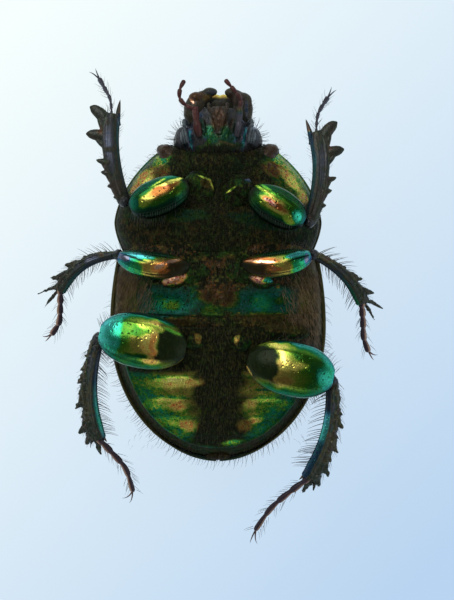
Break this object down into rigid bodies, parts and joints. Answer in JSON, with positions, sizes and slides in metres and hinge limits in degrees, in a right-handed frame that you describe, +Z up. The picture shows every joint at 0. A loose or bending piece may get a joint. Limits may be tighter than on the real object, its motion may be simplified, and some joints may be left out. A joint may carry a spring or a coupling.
{
  "type": "sericotrupes dor beetle",
  "caption": "Dor beetle lying on its back with its legs spread, a domed black shell below and a green and gold metallic underside above.",
  "frame": {"origin": "on the floor, under the middle of the whole beetle's bounding box", "axes": "+Y towards the head, +Z up, which is towards the belly because the beetle lies on its back, and +X towards the beetle's own left side"},
  "size_m": [0.0182, 0.0254, 0.0085],
  "materials": {
    "dark_shell": "glossy black-brown cuticle",
    "green_shell": "metallic green cuticle",
    "gold_green_shell": "metallic gold and green cuticle",
    "blue_shell": "metallic blue-black cuticle",
    "brown_feeler": "dull red-brown cuticle",
    "eye": "glossy dark eye"
  },
  "bodies": {
    "root": {"prothorax": "green_shell", "mesothorax": "dark_shell", "metathorax": "green_shell", "abdomen": "gold_green_shell", "elytron_right": "dark_shell", "elytron_left": "dark_shell", "head": "dark_shell", "mentum": "dark_shell", "labrum": "dark_shell", "mandible_right": "dark_shell", "mandible_left": "dark_shell", "palp_right": "brown_feeler", "palp_left": "brown_feeler", "antenna_right": "brown_feeler", "antenna_left": "brown_feeler", "eye_right": "eye", "eye_left": "eye", "fore_right_coxa": "green_shell", "fore_right_femur": "gold_green_shell", "fore_right_tibia": "blue_shell", "fore_right_tarsus": "dark_shell", "fore_left_coxa": "green_shell", "fore_left_femur": "gold_green_shell", "fore_left_tibia": "blue_shell", "fore_left_tarsus": "dark_shell", "mid_right_coxa": "green_shell", "mid_right_femur": "gold_green_shell", "mid_right_tibia": "blue_shell", "mid_right_tarsus": "dark_shell", "mid_left_coxa": "green_shell", "mid_left_femur": "gold_green_shell", "mid_left_tibia": "blue_shell", "mid_left_tarsus": "dark_shell", "hind_right_coxa": "green_shell", "hind_right_femur": "gold_green_shell", "hind_right_tibia": "blue_shell", "hind_right_tarsus": "dark_shell", "hind_left_coxa": "green_shell", "hind_left_femur": "gold_green_shell", "hind_left_tibia": "blue_shell", "hind_left_tarsus": "dark_shell"}
  },
  "joints": []
}
